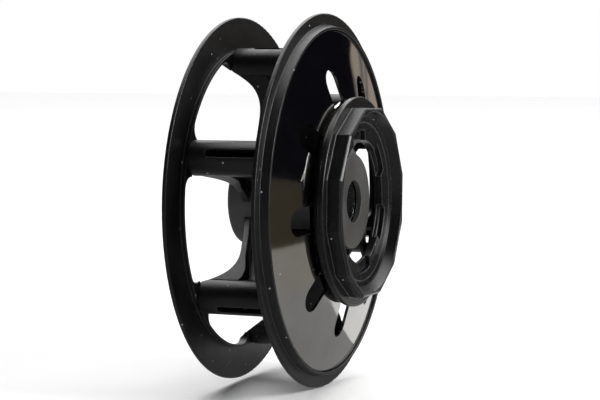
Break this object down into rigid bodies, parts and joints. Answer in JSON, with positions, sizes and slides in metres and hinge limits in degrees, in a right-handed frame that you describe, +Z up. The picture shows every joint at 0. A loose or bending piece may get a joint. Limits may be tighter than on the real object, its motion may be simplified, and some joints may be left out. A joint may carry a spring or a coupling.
{
  "type": "line drum",
  "caption": "Open line drum of a small sailing winch: ring flanges on slotted posts and ribs, a polished slotted face plate, a faceted locking collar and a ball-bearing hub.",
  "frame": {"origin": "on the drum's axis, halfway between the inner faces of its two flanges", "axes": "+Y along the drum's axis, from the collar side to the open side; the collar faces -Y; +Z up; +X to the right for someone facing the collar"},
  "size_m": [0.18, 0.0717, 0.18],
  "materials": {
    "moulded_black": "satin moulded black, fine grain",
    "collar_black": "satin moulded black, slightly polished edges",
    "hub_black": "fine machined black plastic",
    "polished_plate": "polished stainless sheet",
    "bearing_steel": "ground bearing steel",
    "ball_steel": "polished bearing balls",
    "cage_plastic": "natural nylon cage",
    "shield_steel": "pressed shield",
    "spring_steel": "oiled spring steel",
    "screw_steel": "stainless screws",
    "insert_brass": "turned brass",
    "seal_rubber": "black nitrile rubber"
  },
  "bodies": {
    "core": {"front_bearing_inner_race": "bearing_steel", "rear_bearing_inner_race": "bearing_steel", "spacer_sleeve": "bearing_steel"},
    "drum": {"circlip": "spring_steel", "collar_oring": "seal_rubber", "collar_seat": "collar_black", "collar_snap_ring": "spring_steel", "drive_ring": "collar_black", "face_plate": "polished_plate", "front_bearing_outer_race": "bearing_steel", "front_bearing_shields": "shield_steel", "front_flange": "moulded_black", "hub": "hub_black", "hub_cap": "hub_black", "plate_gasket": "seal_rubber", "post_1": "moulded_black", "post_2": "moulded_black", "post_3": "moulded_black", "post_4": "moulded_black", "post_5": "moulded_black", "post_6": "moulded_black", "post_inserts": "insert_brass", "rear_bearing_outer_race": "bearing_steel", "rear_bearing_shields": "shield_steel", "rear_flange": "moulded_black", "rear_screws": "screw_steel", "rib_1": "moulded_black", "rib_2": "moulded_black", "rib_3": "moulded_black", "rib_4": "moulded_black", "rib_5": "moulded_black", "rib_6": "moulded_black", "seat_screws": "screw_steel", "spring_washer": "spring_steel"},
    "front_cage": {"front_bearing_cage": "cage_plastic", "front_bearing_balls": "ball_steel"},
    "rear_cage": {"rear_bearing_cage": "cage_plastic", "rear_bearing_balls": "ball_steel"},
    "collar": {"lock_collar": "collar_black"}
  },
  "joints": [
    {"name": "drum_spin", "type": "hinge", "parent": "core", "child": "drum", "pos_m": [0, 0, 0], "axis": [0, 1, 0], "continuous": true},
    {"name": "front_cage_spin", "type": "hinge", "parent": "core", "child": "front_cage", "pos_m": [0, 0, 0], "axis": [0, 1, 0], "continuous": true},
    {"name": "rear_cage_spin", "type": "hinge", "parent": "core", "child": "rear_cage", "pos_m": [0, 0, 0], "axis": [0, 1, 0], "continuous": true},
    {"name": "collar_twist", "type": "hinge", "parent": "drum", "child": "collar", "pos_m": [0, 0, 0], "axis": [0, 1, 0], "range_deg": [0, 30]}
  ],
  "couplings": [
    {"joint": "front_cage_spin", "follows": "drum_spin", "ratio": 0.5614},
    {"joint": "rear_cage_spin", "follows": "drum_spin", "ratio": 0.5614}
  ]
}
